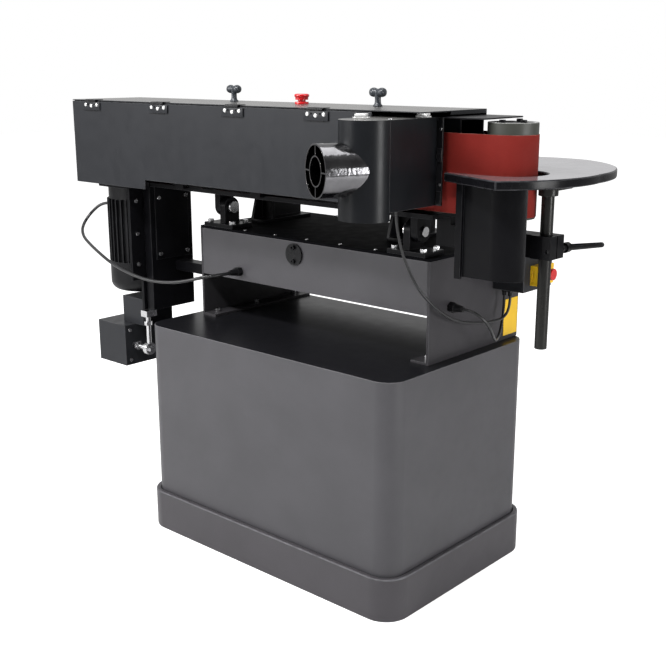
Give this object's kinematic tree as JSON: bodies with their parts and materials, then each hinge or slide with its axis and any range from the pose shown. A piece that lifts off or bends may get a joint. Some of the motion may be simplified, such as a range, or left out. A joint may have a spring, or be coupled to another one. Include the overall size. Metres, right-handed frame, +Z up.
{
  "type": "oscillating edge sander",
  "caption": "Floor-standing oscillating belt edge sander with a tilting head, hinged lid, dust hood and round contour table on a closed cabinet.",
  "frame": {"origin": "centre of the plinth's underside, on the floor", "axes": "+X along the belt towards the round contour table, +Y towards the operator, +Z up"},
  "size_m": [1.5099, 0.6829, 1.0852],
  "materials": {
    "cabinet_paint": "fine textured powder coat, satin",
    "plinth_paint": "satin powder coat",
    "head_paint": "satin",
    "gloss_black": "high gloss",
    "table_iron": "ground and polished top, dark",
    "bright_steel": "satin zinc plate",
    "dark_steel": "oiled, dark",
    "motor_black": "painted, semi matt",
    "black_plastic": "matt",
    "knob_blue_grey": "matt",
    "red_plastic": "gloss",
    "green_plastic": "gloss",
    "yellow_plastic": "satin",
    "cable_rubber": "matt",
    "abrasive_belt": "coarse grit, matt",
    "drum_rubber": "matt, ground"
  },
  "bodies": {
    "stand": {"cabinet_shell": "cabinet_paint", "cabinet_plinth": "plinth_paint", "saddle_left_side": "cabinet_paint", "saddle_right_side": "cabinet_paint", "saddle_panels": "cabinet_paint", "saddle_top_plate": "cabinet_paint", "stand_bolts": "bright_steel", "blank_cap": "black_plastic", "pillow_blocks": "head_paint", "tilt_pins": "bright_steel", "work_table": "table_iron", "work_table_brackets": "head_paint", "control_box": "head_paint", "switch_enclosure": "yellow_plastic", "notice_plate": "yellow_plastic", "cable_glands": "black_plastic", "motor_cable": "cable_rubber", "head_lead": "cable_rubber", "side_lead": "cable_rubber"},
    "head": {"head_beam": "head_paint", "rear_panel": "head_paint", "panel_arms": "head_paint", "left_end_cover": "head_paint", "hinge_leaves": "black_plastic", "head_fasteners": "bright_steel", "dust_hood": "head_paint", "hood_side_panel": "head_paint", "hood_port": "gloss_black", "hood_strip": "black_plastic", "slide_column": "head_paint", "connecting_rod": "bright_steel", "tilt_lock_arm": "head_paint", "clamp_block": "head_paint"},
    "lid": {"lid": "head_paint", "lid_hinge_pins": "black_plastic", "estop_collar": "black_plastic"},
    "latch_knob_left": {"latch_knob_left": "black_plastic"},
    "latch_knob_right": {"latch_knob_right": "black_plastic"},
    "estop_button": {"estop_button": "red_plastic"},
    "carriage": {"carriage_plate": "head_paint", "carriage_bolts": "bright_steel", "motor_housing": "motor_black", "motor_fan_cover": "motor_black", "terminal_box": "motor_black", "belt_frame": "head_paint", "sanding_belt": "abrasive_belt", "gear_box": "head_paint"},
    "rotor": {"motor_rotor": "dark_steel", "drive_drum": "bright_steel"},
    "idler_mount": {"idler_mount": "head_paint"},
    "idler_drum": {"idler_drum": "drum_rubber"},
    "crank": {"crank_shaft": "bright_steel"},
    "contour": {"contour_table": "table_iron", "contour_post": "dark_steel", "drum_guard": "head_paint"},
    "clamp_lever": {"clamp_lever": "black_plastic"},
    "tilt_lock_lever": {"tilt_lock_lever": "black_plastic"},
    "start_button": {"start_button": "green_plastic"},
    "stop_button": {"stop_button": "red_plastic"},
    "selector_knob": {"selector_knob": "knob_blue_grey"}
  },
  "joints": [
    {"name": "head_tilt", "type": "hinge", "parent": "stand", "child": "head", "pos_m": [0, -0.06, 0.794], "axis": [1, 0, 0], "range_deg": [0, 45], "deforming": ["motor_cable", "head_lead"]},
    {"name": "lid_open", "type": "hinge", "parent": "head", "child": "lid", "pos_m": [0, -0.233, 1.0435], "axis": [1, 0, 0], "range_deg": [0, 110]},
    {"name": "latch_left_turn", "type": "hinge", "parent": "lid", "child": "latch_knob_left", "pos_m": [-0.23, -0.084, 1.06], "axis": [0, 0, 1], "continuous": true},
    {"name": "latch_right_turn", "type": "hinge", "parent": "lid", "child": "latch_knob_right", "pos_m": [0.201, -0.084, 1.06], "axis": [0, 0, 1], "continuous": true},
    {"name": "estop_push", "type": "slide", "parent": "lid", "child": "estop_button", "axis": [0, 0, -1], "range_m": [0, 0.004]},
    {"name": "oscillation", "type": "slide", "parent": "head", "child": "carriage", "axis": [0, 0, 1], "range_m": [-0.003, 0.003]},
    {"name": "drum_spin", "type": "hinge", "parent": "carriage", "child": "rotor", "pos_m": [-0.595, -0.09, 0.7], "axis": [0, 0, 1], "continuous": true},
    {"name": "idler_tension", "type": "slide", "parent": "carriage", "child": "idler_mount", "axis": [1, 0, 0], "range_m": [-0.015, 0]},
    {"name": "idler_spin", "type": "hinge", "parent": "idler_mount", "child": "idler_drum", "pos_m": [0.531, -0.09, 0.937], "axis": [0, 0, 1], "continuous": true},
    {"name": "crank_spin", "type": "hinge", "parent": "carriage", "child": "crank", "pos_m": [-0.5, -0.16, 0.419], "axis": [1, 0, 0], "continuous": true},
    {"name": "contour_height", "type": "slide", "parent": "head", "child": "contour", "axis": [0, 0, 1], "range_m": [-0.05, 0.06]},
    {"name": "clamp_turn", "type": "hinge", "parent": "head", "child": "clamp_lever", "pos_m": [0.617, -0.04, 0.792], "axis": [0, 1, 0], "range_deg": [-45, 60]},
    {"name": "tilt_lock_turn", "type": "hinge", "parent": "head", "child": "tilt_lock_lever", "pos_m": [-0.355, -0.06, 0.634], "axis": [1, 0, 0], "range_deg": [-60, 60]},
    {"name": "start_push", "type": "slide", "parent": "stand", "child": "start_button", "axis": [-1, 0, 0], "range_m": [0, 0.004], "stiffness_N_per_m": 300},
    {"name": "stop_push", "type": "slide", "parent": "stand", "child": "stop_button", "axis": [-1, 0, 0], "range_m": [0, 0.004], "stiffness_N_per_m": 300},
    {"name": "selector_turn", "type": "hinge", "parent": "stand", "child": "selector_knob", "pos_m": [0.43, 0.184, 0.732], "axis": [1, 0, 0], "range_deg": [0, 90]}
  ],
  "couplings": [
    {"joint": "idler_spin", "follows": "drum_spin", "ratio": 1}
  ]
}
